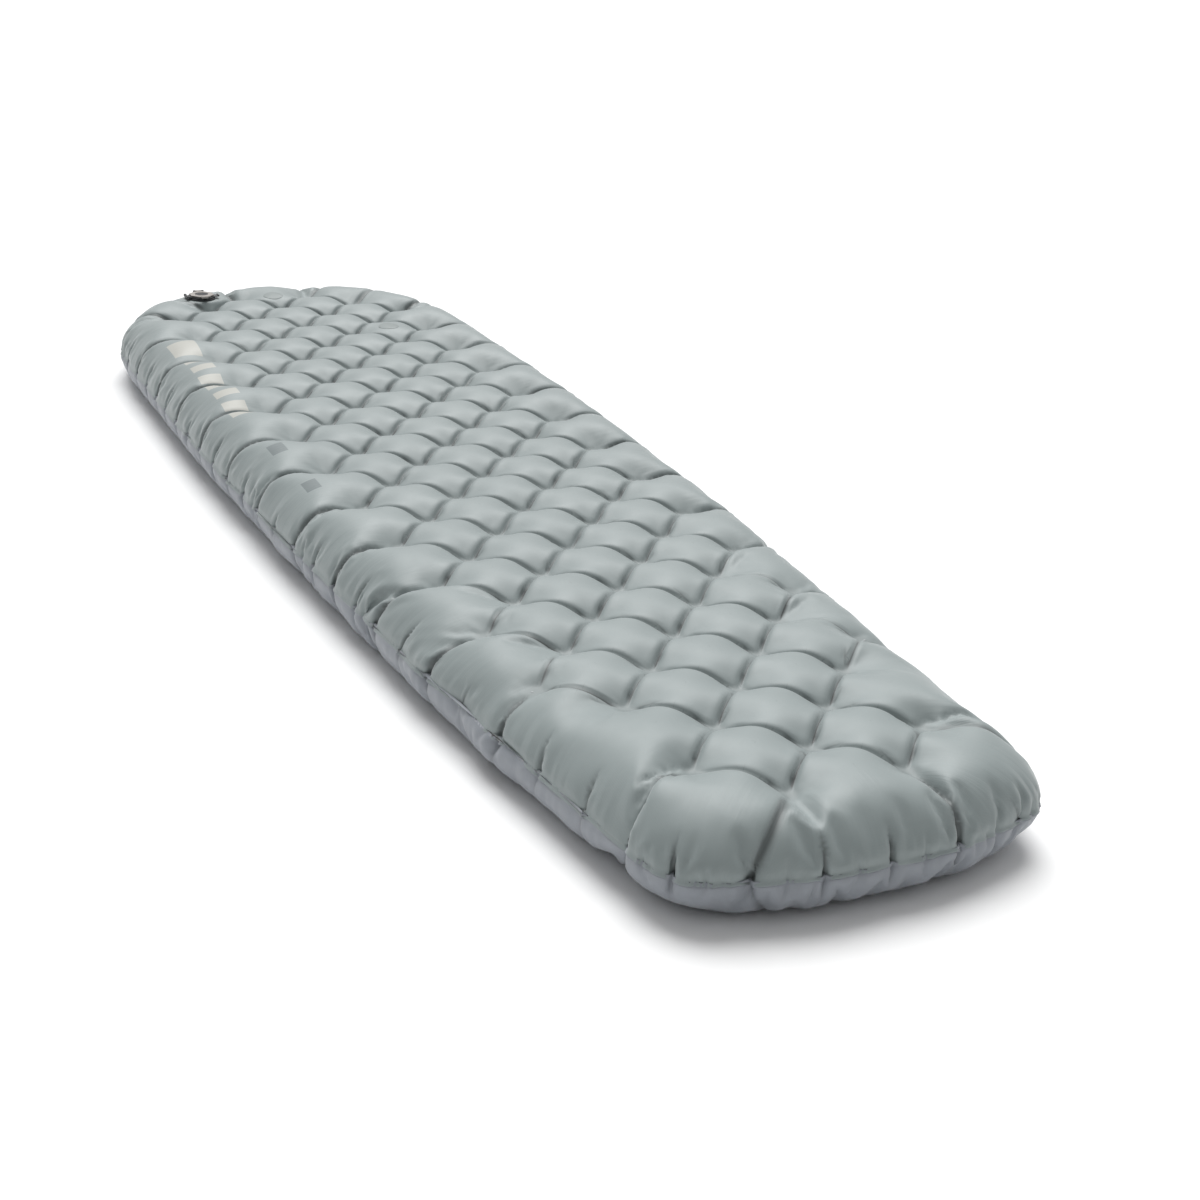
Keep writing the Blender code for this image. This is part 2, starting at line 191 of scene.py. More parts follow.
def weld_dots():
    """The plan positions of the weld dots, from the posts of the tethers."""
    found = []
    for name in sorted(n for n in frame["nodes"] if n.startswith("tether_strip")):
        points = node_points(name)
        tops = points[points[:, 2] > points[:, 2].max() - 0.001]
        ys = np.sort(tops[:, 1])
        groups = np.split(ys, np.flatnonzero(np.diff(ys) > 0.01) + 1)
        found += [(tops[:, 0].mean(), group.mean()) for group in groups]
    return np.array(found)


def smooth_loop(points, step, window):
    """A closed outline with points at equal steps, its corners rounded over a window."""
    fine = 0.001
    closed = np.vstack([points, points[:1]])
    run = np.concatenate([[0], np.cumsum(norms(np.diff(closed, axis=0)))])
    count = int(run[-1] / fine)
    at = np.arange(count) * run[-1] / count
    loop = np.stack([np.interp(at, run, closed[:, k]) for k in range(2)], axis=1)
    half = int(window / fine / 2)
    kernel = np.ones(2 * half + 1) / (2 * half + 1)
    for _ in range(2):
        wrapped = np.vstack([loop[-half:], loop, loop[:half]])
        loop = np.stack([np.convolve(wrapped[:, k], kernel, "valid") for k in range(2)], axis=1)
    total = norms(np.diff(np.vstack([loop, loop[:1]]), axis=0)).sum()
    number = int(round(total / step))
    picks = (np.arange(number) * len(loop) / number).astype(int)
    return loop[picks]


def hull_of(points):
    return points[convex_hull_2d([Vector(p) for p in points])]


def turned_outwards(loop):
    """The outline counter-clockwise, so that its outside is on the right."""
    x, y = loop.T
    area = (x * np.roll(y, -1) - y * np.roll(x, -1)).sum()
    return loop if area > 0 else loop[::-1]


def lattice_pitch(dots):
    """Spacing of the weld dots' columns and rows."""
    return np.array([np.diff(np.unique(np.round(places, 4))).mean() for places in dots.T])


DOTS = weld_dots()
PITCH = lattice_pitch(DOTS)
HULL = turned_outwards(hull_of(DOTS))
FLAT_HULL = HULL * SURPLUS
PIT_TOP = node_points("tether_strip_4")[:, 2].max()
PIT_BOTTOM = node_points("tether_strip_4")[:, 2].min()
OUTLINE = turned_outwards(smooth_loop(hull_of(node_points("top_sheet")[:, :2]), 0.004, 0.05))
collar_low, collar_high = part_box("valve_weld_flange")
VALVE = np.array([(collar_low.x + collar_high.x) / 2, (collar_low.y + collar_high.y) / 2])
TOP_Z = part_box("top_sheet")[1].z


# ---------------- flat pattern
def nearest_on_hull(points, hull):
    """For each point: the nearest point of the hull's edge, and the distance outside it,
    which is negative inside."""
    start, end = hull, np.roll(hull, -1, axis=0)
    along = end - start
    best = np.full(len(points), np.inf)
    place = np.zeros((len(points), 2))
    inside = np.ones(len(points), bool)
    for a, d in zip(start, along):
        t = np.clip(((points - a) @ d) / (d @ d), 0, 1)
        spot = a + t[:, None] * d
        gap = norms(points - spot)
        nearer = gap < best
        best[nearer], place[nearer] = gap[nearer], spot[nearer]
        inside &= d[0] * (points[:, 1] - a[1]) - d[1] * (points[:, 0] - a[0]) > 0
    return place, np.where(inside, -best, best)


def reach(places, normals):
    """How far the seam's outline lies from each place along its normal."""
    start, end = OUTLINE, np.roll(OUTLINE, -1, axis=0)
    edge = end - start
    far = np.zeros(len(places))
    for a, e in zip(start, edge):
        cross = normals[:, 0] * e[1] - normals[:, 1] * e[0]
        cross = np.where(np.abs(cross) < 1e-12, 1e-12, cross)
        gap = a - places
        t = (gap[:, 0] * e[1] - gap[:, 1] * e[0]) / cross
        u = (gap[:, 0] * normals[:, 1] - gap[:, 1] * normals[:, 0]) / cross
        hit = (u >= 0) & (u <= 1) & (t > 0)
        far[hit] = np.maximum(far[hit], t[hit])
    return far


def wall(distance):
    """The side wall's section for a seam this far from the weld dots: a round arc from the
    upper to the lower sheet. Gives its radius, centre, flat part and angles."""
    half = (PIT_TOP - PIT_BOTTOM) / 2
    middle = (PIT_TOP + PIT_BOTTOM) / 2
    full = WALL_RADIUS + math.sqrt(WALL_RADIUS**2 - half**2)
    bent = np.minimum(distance, full)
    centre = (bent**2 - half**2) / (2 * bent)
    radius = bent - centre
    start = math.pi - np.arctan2(half, centre)
    end = np.arcsin((SEAM_Z - middle) / radius)
    return radius, centre, distance - bent, start, end, middle


def margins(distance):
    """Cut widths of the top's and the bottom's wall."""
    radius, _, flat, start, end, _ = wall(distance)
    return radius * (start - end) + flat, lower_wall(distance)[2][:, -1]


def lower_wall(distance):
    """The lower sheet's section from a weld dot to a seam this far away: down to the floor,
    along it, and up a full curve. Gives rows of outward distances, heights and lengths."""
    t = np.linspace(0, 1, 24)
    dip = np.minimum(DIP_WIDTH, distance - FOOT_WIDTH - 0.001)[:, None]
    down = np.stack([dip * t, PIT_BOTTOM * (1 + np.cos(math.pi * t)) / 2 + 0 * dip])
    turn = t[1:] * math.pi / 2
    up = np.stack([
        distance[:, None] - FOOT_WIDTH + FOOT_WIDTH * np.sin(turn), SEAM_Z * (1 - np.cos(turn)) + 0 * dip
    ])
    path = np.concatenate([down, up], axis=2)
    steps = np.sqrt((np.diff(path, axis=2) ** 2).sum(axis=0))
    run = np.concatenate([np.zeros((len(distance), 1)), np.cumsum(steps, axis=1)], axis=1)
    return path[0], path[1], run


def section(share, distance, side):
    """Where a share of the cut width from the dots lies: outward distance and height. side is
    1 for the top and -1 for the bottom."""
    if side < 0:
        out, height, run = lower_wall(distance)
        at = share * run[:, -1]
        rows = zip(at, run, out, height)
        return np.array([(np.interp(s, r, o), np.interp(s, r, h)) for s, r, o, h in rows]).T
    radius, centre, flat, start, end, middle = wall(distance)
    run = share * (radius * (start - end) + flat)
    rise = radius * np.maximum(start - math.pi / 2, 0)
    level = np.clip(run - rise, 0, flat)
    angle = start - (run - level) / radius
    return centre + radius * np.cos(angle) + level, middle + radius * np.sin(angle)


def rounded_hull():
    """Places and outward normals all the way round the hull of the weld dots."""
    places, normals = [], []
    count = len(HULL)
    sides = np.roll(HULL, -1, axis=0) - HULL
    angles = np.arctan2(-sides[:, 0], sides[:, 1])
    for i in range(count):
        turn = (angles[i] - angles[i - 1] + math.pi) % (2 * math.pi) - math.pi
        for t in np.linspace(0, 1, max(2, int(turn * 30))):
            angle = angles[i - 1] + turn * t
            places.append(HULL[i])
            normals.append((math.cos(angle), math.sin(angle)))
        steps = max(2, int(np.linalg.norm(sides[i]) / 0.004))
        for t in np.linspace(0, 1, steps)[1:-1]:
            places.append(HULL[i] + sides[i] * t)
            normals.append((math.cos(angles[i]), math.sin(angles[i])))
    return np.array(places), np.array(normals)


def flat_seam():
    """The welded edge in the top's flat pattern."""
    places, normals = rounded_hull()
    width = margins(reach(places, normals))[0]
    return smooth_loop(places * SURPLUS + normals * width[:, None], RIM_STEP, 0.03)


def normals_of(loop):
    """The outward normals of a counter-clockwise loop."""
    along = np.roll(loop, -1, axis=0) - np.roll(loop, 1, axis=0)
    along /= norms(along)[:, None]
    return np.stack([along[:, 1], -along[:, 0]], axis=1)


def ring(centre, radius):
    angles = np.arange(RING_POINTS) * 2 * math.pi / RING_POINTS
    return centre + radius * np.stack([np.cos(angles), np.sin(angles)], axis=1)


def flat_valve():
    """The valve's centre in the flat pattern."""
    place, distance = nearest_on_hull(VALVE[None], HULL)
    normal = (VALVE - place) / distance
    far = reach(place, normal)
    shares = np.linspace(0, 1, 200)
    out, _ = section(shares, np.full(200, far[0]), 1)
    share = np.interp(distance[0], out, shares)
    return place[0] * SURPLUS + normal[0] * share * margins(far)[0][0]


def grid(low, high):
    """Points in line with the diagonals between the weld dots, in the flat pattern."""
    step = PITCH * SURPLUS / CELLS
    start = DOTS[0] * SURPLUS
    first = np.floor((low - start) / step).astype(int)
    last = np.ceil((high - start) / step).astype(int)
    u, v = np.meshgrid(np.arange(first[0], last[0]), np.arange(first[1], last[1]))
    even = (u + v) % 2 == 0
    return start + np.stack([u[even], v[even]], axis=1) * step


def flat_mesh():
    """The top's flat pattern as a triangle mesh, its welded edge's points first."""
    rim = flat_seam()
    outward = normals_of(rim)
    rows = [rim - k * RIM_STEP * outward for k in range(RIM_ROWS)]
    valve = flat_valve()
    inner = [ring(valve, r) for r in VALVE_RINGS] + [ring(valve, VALVE_HOLE / 2)[::3], valve[None]]
    points = grid(rim.min(0), rim.max(0))
    place, outside = nearest_on_hull(points, FLAT_HULL)
    far = outside > 0
    normal = (points[far] - place[far]) / outside[far, None]
    room = np.full(len(points), np.inf)
    room[far] = margins(reach(place[far] / SURPLUS, normal))[0] - outside[far]
    keep = room > (RIM_ROWS - 1) * RIM_STEP + RIM_CLEARANCE
    keep &= norms(points - valve) > VALVE_RINGS[-1] + VALVE_CLEARANCE
    everything = np.vstack(rows + inner + [points[keep]])
    count = len(rim)
    loop = [(i, (i + 1) % count) for i in range(count)]
    hole = count * RIM_ROWS
    loop += [(hole + i, hole + (i + 1) % RING_POINTS) for i in range(RING_POINTS)]
    made = delaunay_2d_cdt([Vector(p) for p in everything], loop, [], 1, 1e-6, True)
    if len(made[0]) != len(everything):
        raise ValueError("the flat pattern's points run into each other")
    order = [ids[0] for ids in made[3]]
    triangles = np.array([[order[i] for i in face] for face in made[2]])
    return everything, triangles, count, valve


def pillows(places):
    """Height over the weld dots of a quilt of pillows that meet in arched valleys, each valley
    running between two neighbouring dots."""
    p, q = ((places - DOTS[0]) / PITCH).T
    one, other = np.abs(np.sin(math.pi * (q + p) / 2)), np.abs(np.sin(math.pi * (q - p) / 2))
    arch = np.sqrt(1 - (1 - one**2) * (1 - other**2))
    return VALLEY * arch + (CREST - VALLEY) * (one * other) ** 0.8


def wall_places(flat, side):
    """Where the points of the top's flat pattern start in the inflated pad, and where they
    are in this side's own flat pattern."""
    place, outside = nearest_on_hull(flat, FLAT_HULL)
    start = np.empty((len(flat), 3))
    start[:, :2] = flat / SURPLUS
    start[:, 2] = PIT_TOP if side > 0 else PIT_BOTTOM
    own = flat.copy()
    far = outside > 1e-6
    normal = (flat[far] - place[far]) / outside[far, None]
    distance = reach(place[far] / SURPLUS, normal)
    top, bottom = margins(distance)
    share = np.minimum(outside[far] / top, 1)
    out, height = section(share, distance, side)
    start[far, :2] = place[far] / SURPLUS + normal * out[:, None]
    start[far, 2] = height
    rise = pillows(np.where(far[:, None], place, flat) / SURPLUS)
    fade = np.ones(len(flat))
    fade[far] = (1 - share) ** 2 * np.cos(np.minimum(share * math.pi, math.pi / 2))
    start[:, 2] += side * rise * fade
    own[far] = place[far] + normal * (share * (top if side > 0 else bottom))[:, None]
    return start, own


# ---------------- inflating
def held_pairs(triangles, flat):
    """Pairs of points with a rest length: the ends of every edge, and the two corners that
    face each other across it."""
    sides = np.vstack([triangles[:, [0, 1]], triangles[:, [1, 2]], triangles[:, [2, 0]]])
    facing = np.concatenate([triangles[:, 2], triangles[:, 0], triangles[:, 1]])
    sides = np.sort(sides, axis=1)
    order = np.lexsort((sides[:, 1], sides[:, 0]))
    sides, facing = sides[order], facing[order]
    twin = np.flatnonzero((sides[1:] == sides[:-1]).all(axis=1))
    across = np.stack([facing[twin], facing[twin + 1]], axis=1)
    edges = np.unique(sides, axis=0)
    pairs = np.vstack([edges, across])
    rest = norms(flat[pairs[:, 0]] - flat[pairs[:, 1]])
    squeeze = np.concatenate([np.full(len(edges), SQUEEZE), np.full(len(across), BEND)])
    return pairs, rest, squeeze


def neighbour_table(pairs, rest, squeeze, count):
    """The pairs as a table with a row for each point, filled up with pairs of no effect."""
    source = np.concatenate([pairs[:, 0], pairs[:, 1]])
    target = np.concatenate([pairs[:, 1], pairs[:, 0]])
    order = np.argsort(source, kind="stable")
    source, target = source[order], target[order]
    number = np.bincount(source, minlength=count)
    column = np.arange(len(source)) - np.repeat(np.cumsum(number) - number, number)
    shape = (number.max(), count)
    table = np.broadcast_to(np.arange(count), shape).copy()
    table[column, source] = target
    lengths, soft = np.zeros(shape, np.float32), np.zeros(shape, np.float32)
    lengths[column, source] = np.tile(rest, 2)[order]
    soft[column, source] = np.tile(squeeze, 2)[order]
    return table, lengths, soft, number


def inflate(points, triangles, pairs, rest, squeeze, held, rim):
    """Blows the welded sheets up until they settle, with the held points staying put and the
    floor at height zero. Returns the points."""
    count = len(points)
    table, lengths, soft, number = neighbour_table(pairs, rest, squeeze, count)
    now = np.ascontiguousarray(points.T, np.float32)
    before = now.copy()
    share = (~held / np.maximum(number, 1)).astype(np.float32)
    thrust = (PRESSURE * ~held).astype(np.float32)
    momentum = (MOMENTUM * ~held).astype(np.float32)
    corners = triangles.T.copy()
    for step in range(STEPS):
        if step % PUSH_EVERY == 0:
            a, b, c = (now.take(corner, axis=1) for corner in corners)
            face = np.cross(b - a, c - a, axis=0)
            push = np.array([
                sum(np.bincount(corner, part, count) for corner in corners) for part in face
            ], np.float32)
            push *= thrust / (np.sqrt((push * push).sum(axis=0)) + 1e-12)
            push *= max(1, BOOST * (1 - step / BOOST_STEPS))
        move = np.zeros_like(now)
        for row, length, yielding in zip(table, lengths, soft):
            gap = now.take(row, axis=1)
            gap -= now
            far = np.sqrt(gap[0] * gap[0] + gap[1] * gap[1] + gap[2] * gap[2]) + 1e-9
            error = far - length
            error *= np.where(error > 0, STRETCH, yielding)
            error /= far
            gap *= error
            move += gap
        after = now + momentum * (now - before) + share * move + push
        after[2, :rim] += RIM_HOLD * (SEAM_Z - after[2, :rim])
        np.maximum(after[2], 0, out=after[2])
        before, now = now, after
    return now.T.astype(float)


def folds(flat, rim):
    """Where the welded edge gathers into sharp folds: rim point numbers and how much of the
    edge's length is left there. There is one straight out from each outer dot, one halfway
    along a side's bulge, and more round the two ends."""
    edge = flat[:rim]
    outer = [dot for dot in DOTS if nearest_on_hull(dot[None], HULL)[1][0] > -0.01]
    place, outside = nearest_on_hull(edge, FLAT_HULL)
    normal = (edge - place) / outside[:, None]
    chosen = {}
    for dot in outer:
        from_dot = edge - dot * SURPLUS
        miss = np.abs(from_dot[:, 0] * normal[:, 1] - from_dot[:, 1] * normal[:, 0])
        ahead = (from_dot * normal).sum(axis=1)
        miss[(ahead < 0) | (ahead > WALL_REACH)] = 1
        chosen[int(miss.argmin())] = PINCH
    at = sorted(chosen)
    for one, other in zip(at, at[1:] + [at[0] + rim]):
        number = int(round((other - one) * RIM_STEP / FOLD_SPACING))
        for k in range(1, number):
            chosen[(one + (other - one) * k // number) % rim] = PINCH_MORE
    return chosen


def simulate_pad():
    flat, triangles, rim, valve = flat_mesh()
    count = len(flat)
    top, top_flat = wall_places(flat, 1)
    bottom, bottom_flat = wall_places(flat, -1)
    rng = np.random.default_rng(SEED)
    offset = count - rim
    from_valve = norms(flat - valve)
    in_hole = (from_valve[triangles] < VALVE_HOLE + 1e-5).all(axis=1)
    top_faces = triangles[~in_hole]
    bottom_faces = triangles[:, ::-1] + np.where(triangles[:, ::-1] >= rim, offset, 0)
    points = np.vstack([top, bottom[rim:]])
    points[:, 2] += rng.normal(0, START_NOISE, len(points))
    lower_pairs, *lower_lengths = held_pairs(triangles, bottom_flat)
    lower_pairs = lower_pairs + np.where(lower_pairs >= rim, offset, 0)
    both = zip(held_pairs(top_faces, top_flat), (lower_pairs, *lower_lengths))
    pairs, rest, squeeze = (np.concatenate(parts) for parts in both)
    held = np.zeros(len(points), bool)
    for dot in DOTS:
        near = np.flatnonzero(norms(flat - dot * SURPLUS) < DOT_RADIUS)
        for number, height in ((near, PIT_TOP + TETHER_GAP), (near + offset, PIT_BOTTOM - TETHER_GAP)):
            held[number] = True
            points[number, :2] = dot + flat[near] - dot * SURPLUS
            points[number, 2] = height
    round_valve = np.flatnonzero(from_valve < VALVE_RINGS[-1] + 1e-5)
    held[round_valve] = True
    points[round_valve, :2] = VALVE + flat[round_valve] - valve
    points[round_valve, 2] = TOP_Z - VALVE_SINK
    everything = np.vstack([top_faces, bottom_faces])
    pulls, pull_rest = [], []
    outward = normals_of(flat[:rim])
    for number, left in folds(flat, rim).items():
        for row in range(FOLD_ROWS):
            one, other = ((number + k) % rim + row * rim for k in (-1, 1))
            share = left + (1 - left) * row / FOLD_ROWS
            pulls.append((one, other))
            pull_rest.append(share * 2 * RIM_STEP)
            points[number + row * rim, :2] -= FOLD_DEPTH * (1 - row / FOLD_ROWS) * outward[number]
    pairs = np.vstack([pairs, np.repeat(pulls, FOLD_FORCE, axis=0)])
    rest = np.concatenate([rest, np.repeat(pull_rest, FOLD_FORCE)])
    squeeze = np.concatenate([squeeze, np.zeros(len(pulls) * FOLD_FORCE)])
    points = inflate(points, everything, pairs, rest, squeeze, held, rim)
    return points, top_faces, bottom_faces, rim, flat


# ---------------- finished sheets
def lip(points, flat, rim, side):
    """The welded edge outside the seam, which hangs over the lower wall: two more rows of
    points, their flat places, and the faces between them."""
    edge = points[:rim]
    outward = np.column_stack([blurred(normals_of(edge[:, :2]), 9), np.zeros(rim)])
    outward /= norms(outward)[:, None]
    droop = np.radians(LIP_DROOP + LIP_DROOP_VARIES * bumpy(rim, RIM_STEP, 0.03, DROOP_SEED))[:, None]
    up = np.array([0, 0, 1.0])
    along = outward * np.cos(droop) - up * np.sin(droop)
    across = outward * np.sin(droop) + up * np.cos(droop)
    width = LIP_WIDTH * (1 + 0.2 * bumpy(rim, RIM_STEP, 0.02, LIP_SEED))[:, None]
    if side > 0:
        first, second = edge + along * width, edge + along * width - across * LIP_THICKNESS
    else:
        second = edge + along * (width + LIP_THICKNESS) - across * LIP_THICKNESS
        first = edge + along * width / 2 - across * LIP_THICKNESS
    flat_out = normals_of(flat[:rim])
    rows = [np.arange(rim), len(points) + np.arange(rim), len(points) + rim + np.arange(rim)]
    faces = []
    for inner, outer in zip(rows, rows[1:]):
        quads = np.stack([inner, outer, np.roll(outer, -1), np.roll(inner, -1)], axis=1)
        faces += quads[:, ::side].tolist()
    flats = [flat[:rim] + flat_out * out for out in (LIP_WIDTH, LIP_WIDTH + LIP_THICKNESS)]
    return np.vstack([first, second]), np.vstack(flats), faces


def blurred(values, width):
    """A closed row of values, averaged over a few neighbours."""
    half = width // 2
    return sum(np.roll(values, k, axis=0) for k in range(-half, half + 1)) / (2 * half + 1)


def bumpy(count, step, wave, seed):
    """A closed row of smooth random values between about -1 and 1, as long as a wave each."""
    knots = max(4, int(round(count * step / wave)))
    values = np.random.default_rng(seed).uniform(-1, 1, knots)
    return waves(np.arange(count) / count * knots, values)


def waves(at, values):
    """Smooth values between knots at whole numbers, which repeat after the last one."""
    low = np.floor(at).astype(int)
    part = at - low
    part = part * part * (3 - 2 * part)
    count = len(values)
    return values[low % count] * (1 - part) + values[(low + 1) % count] * part


def ramp(values, low, high):
    t = np.clip((values - low) / (high - low), 0, 1)
    return t * t * (3 - 2 * t)


def keep_vectors(mesh, name, values):
    """Stores a row of three numbers for each point, for the materials to read."""
    mesh.attributes.new(name, "FLOAT_VECTOR", "POINT").data.foreach_set("vector", values.ravel())


def sheet_object(name, points, faces, flat):
    """A sheet as a smooth mesh of mostly four-sided faces. Its sharp valleys stay creased."""
    used = np.unique(np.concatenate([np.ravel(face) for face in faces]))
    number = np.full(len(points), -1)
    number[used] = np.arange(len(used))
    mesh = bpy.data.meshes.new(name)
    pattern = np.column_stack([flat[used], np.zeros(len(used))])
    mesh.from_pydata(pattern.tolist(), [], [number[list(face)].tolist() for face in faces])
    keep_vectors(mesh, "flat", pattern)
    bm = bmesh.new()
    bm.from_mesh(mesh)
    bmesh.ops.join_triangles(
        bm, faces=bm.faces, angle_face_threshold=0.5, angle_shape_threshold=math.radians(50)
    )
    for vertex, spot in zip(bm.verts, points[used]):
        vertex.co = spot
    bm.normal_update()
    crease = bm.edges.layers.float.new("crease_edge")
    for edge in bm.edges:
        if len(edge.link_faces) == 2:
            valley = -edge.calc_face_angle_signed(0)
            edge[crease] = min(max((valley - CREASE_FROM) / (CREASE_FULL - CREASE_FROM), 0), 1)
    bm.to_mesh(mesh)
    bm.free()
    made = linked(name, mesh)
    smooth = made.modifiers.new("smooth", "SUBSURF")
    smooth.levels = smooth.render_levels = 1
    graph = bpy.context.evaluated_depsgraph_get()
    finished = bpy.data.meshes.new_from_object(made.evaluated_get(graph))
    made.modifiers.clear()
    made.data = finished
    finished.shade_smooth()
    return made


def grooves(shape, distance):
    """Depth beside the middle of a crease: a soft dip and a sharp one, added."""
    (soft, width), (sharp, narrow) = shape
    return soft * np.exp(-((distance / width) ** 2)) + sharp * np.maximum(0, 1 - distance / narrow)


def beside(flat, start, end):
    """For each point, its share of the way from start to end and its distance from that line."""
    along = end - start
    length = np.linalg.norm(along)
    gap = flat - start
    share = gap @ along / length**2
    return share, (gap[:, 0] * along[1] - gap[:, 1] * along[0]) / length, length


class Creases:
    """How deep each point lies in a crease, and how far aside it is from the nearest crease's
    middle, for the line of painted shade that is finer than the mesh."""

    def __init__(self, count):
        self.depth, self.aside, self.mark = np.zeros(count), np.ones(count), np.zeros(count)

    def press(self, some, depth, aside, mark):
        self.depth[some] = np.maximum(self.depth[some], depth)
        nearer = (np.abs(aside) < np.abs(self.aside[some])) & (mark > 0.02)
        self.aside[some[nearer]] = aside[nearer]
        fade = np.maximum(0, 1 - np.abs(aside[nearer]) / CREASE_MARKED)
        self.mark[some[nearer]] = mark[nearer] * fade


def crease_valleys(creases, flat, rng):
    """A sharp crease along every valley between two neighbouring weld dots, and finer ones that
    leave the dots beside it."""
    near = (np.abs(DOTS[:, None] - DOTS[None]) < PITCH * NEIGHBOUR).all(axis=2)
    for one, other in zip(*np.nonzero(np.triu(near, 1))):
        start, end = DOTS[one] * SURPLUS, DOTS[other] * SURPLUS
        low, high = np.minimum(start, end) - 0.01, np.maximum(start, end) + 0.01
        some = np.flatnonzero(((flat > low) & (flat < high)).all(axis=1))
        share, aside, length = beside(flat[some], start, end)
        from_end = np.minimum(share, 1 - share) * length
        strength = ramp(from_end, 0.004, 0.016) * rng.uniform(0.7, 1.25)
        groove = CREASE_DEPTH * np.maximum(0, 1 - np.abs(aside) / CREASE_WIDTH)
        # the groove, and how strong its line of painted shade is
        creases.press(some, groove * strength, aside, np.minimum(strength, 1))
        for from_dot in (share * length, (1 - share) * length):
            slant = rng.uniform(*SIDE_CREASE_SLANT) * rng.choice((-1, 1))
            reach_out = rng.uniform(*SIDE_CREASE_REACH)
            away = aside - slant * from_dot
            strength = ramp(from_dot, 0.008, 0.014) * (1 - ramp(from_dot, reach_out * 0.6, reach_out))
            groove = SIDE_CREASE[0] * np.maximum(0, 1 - np.abs(away) / SIDE_CREASE[1])
            creases.press(some, groove * strength, away, strength * SIDE_CREASE[2])


def crease_walls(creases, flat, outside, rim, side, rng):
    """The creases that run down the walls to the folds in the welded edge."""
    for number, left in folds(rim, len(rim)).items():
        end = rim[number]
        place, out = nearest_on_hull(end[None], FLAT_HULL)
        inwards = (place[0] - end) / out[0]
        if left == PINCH:
            start, shape, darkness = place[0], WALL_CREASE, 1.0
        else:
            start, shape, darkness = end + inwards * rng.uniform(*SHORT_FOLD_REACH), SHORT_FOLD, 0.6
        share, aside, length = beside(flat, start, end)
        some = np.flatnonzero((share > 0) & (share < 1.1) & (np.abs(aside) < 0.03) & (outside > 1e-5))
        strength = ramp(share[some] * length, 0.0, 0.028) * rng.uniform(0.8, 1.15)
        strength *= 1 if side > 0 else LOWER_SHARE
        depth = grooves(shape, np.abs(aside[some])) * strength
        # the groove, and a line of painted shade along it, fainter for a short fold
        creases.press(some, depth, aside[some], np.minimum(strength, 1) * darkness)


def wall_coordinates(place, outside, normal, rim):
    """For points on the walls: how far along the welded edge they are, in its mesh points, and
    how far in from it."""
    width = margins(reach(place / SURPLUS, normal))[0]
    ends = place + normal * width[:, None]
    tree = KDTree(len(rim))
    for number, point in enumerate(rim):
        tree.insert((*point, 0), number)
    tree.balance()
    nearest = np.array([tree.find((*point, 0))[1] for point in ends])
    tangent = np.roll(rim, -1, axis=0) - rim
    run = nearest + ((ends - rim[nearest]) * tangent[nearest]).sum(axis=1) / RIM_STEP**2
    return run, width - outside


def gathers(run, inside, count, rng):
    """Height of the fine gathers that run in from the welded edge."""
    rise = np.zeros(len(run))
    for wave, height, fade in GATHERS:
        knots = int(round(count * RIM_STEP / wave))
        at = run / count * knots
        pattern = np.abs(waves(at, rng.uniform(-1, 1, knots)))
        length = fade * (0.45 + 0.55 * np.abs(waves(at / 3, rng.uniform(-1, 1, knots))))
        rise += height * pattern * ramp(inside, 0.001, 0.008) * (1 - ramp(inside / length, 0.3, 1))
    return rise


def dot_creases(flat, rng):
    """Height of the creases round the weld dots, and each point's place from its nearest dot."""
    rise = np.zeros(len(flat))
    nearest = np.full(len(flat), np.inf)
    from_nearest = np.zeros((len(flat), 3))
    for dot in DOTS:
        from_dot = flat - dot * SURPLUS
        distance = norms(from_dot)
        closer = distance < nearest
        nearest[closer] = distance[closer]
        from_nearest[closer, :2] = from_dot[closer]
        near = np.flatnonzero(distance < DOT_CREASE_REACH)
        angle = np.arctan2(from_dot[near, 1], from_dot[near, 0]) / (2 * math.pi) + 0.5
        at = angle * DOT_CREASES
        pattern = np.abs(waves(at, rng.uniform(-1, 1, DOT_CREASES)))
        length = DOT_CREASE_REACH * (0.5 + 0.5 * np.abs(waves(at, rng.uniform(-1, 1, DOT_CREASES))))
        strength = ramp(distance[near], DOT_RADIUS * 0.8, DOT_RADIUS * 1.6)
        strength *= 1 - ramp(distance[near] / length, 0.35, 1)
        rise[near] += DOT_CREASE_HEIGHT * pattern * strength
    return rise, from_nearest


def fine_folds(thing, rim, side):
    """Moves a sheet's points along their normals, for the folds that are too fine for the
    simulation: creases in the valleys and down the walls, gathers that run in from the welded
    edge, and creases round the dots."""
    mesh = thing.data
    places = read(mesh.vertices, "co")
    normals = read(mesh.vertex_normals, "vector")
    flat = read(mesh.attributes["flat"].data, "vector")[:, :2]
    rng = np.random.default_rng(CREASE_SEED)
    place, outside = nearest_on_hull(flat, FLAT_HULL)
    creases = Creases(len(flat))
    crease_valleys(creases, flat, rng)
    crease_walls(creases, flat, outside, rim, side, rng)

    far = np.flatnonzero(outside > 1e-5)
    normal = (flat[far] - place[far]) / outside[far, None]
    run, inside = wall_coordinates(place[far], outside[far], normal, rim)
    rise = -creases.depth
    rise[far] *= ramp(inside, -0.004, 0.003)
    rise[far] += gathers(run, inside, len(rim), rng)
    around_dots, from_dot = dot_creases(flat, rng)
    rise += around_dots

    on_wall = np.zeros((len(flat), 3))
    on_wall[far] = np.column_stack([run * RIM_STEP, inside, ramp(outside[far], 0.0, 0.02)])
    # painted shade for the materials: a line along each crease and the hollow round it
    shade = ramp(creases.depth, *HOLLOW_DEPTHS)
    keep_vectors(mesh, "on_wall", on_wall)
    keep_vectors(mesh, "painted_crease_shade", np.column_stack([creases.aside, creases.mark, shade]))
    keep_vectors(mesh, "from_dot", from_dot)

    calm = ramp(norms(places[:, :2] - VALVE), VALVE_RINGS[-1], 0.04)
    moved = places + normals * (rise * calm)[:, None]
    moved[:, 2] = np.maximum(moved[:, 2], 0)
    mesh.vertices.foreach_set("co", moved.ravel())
    mesh.update()


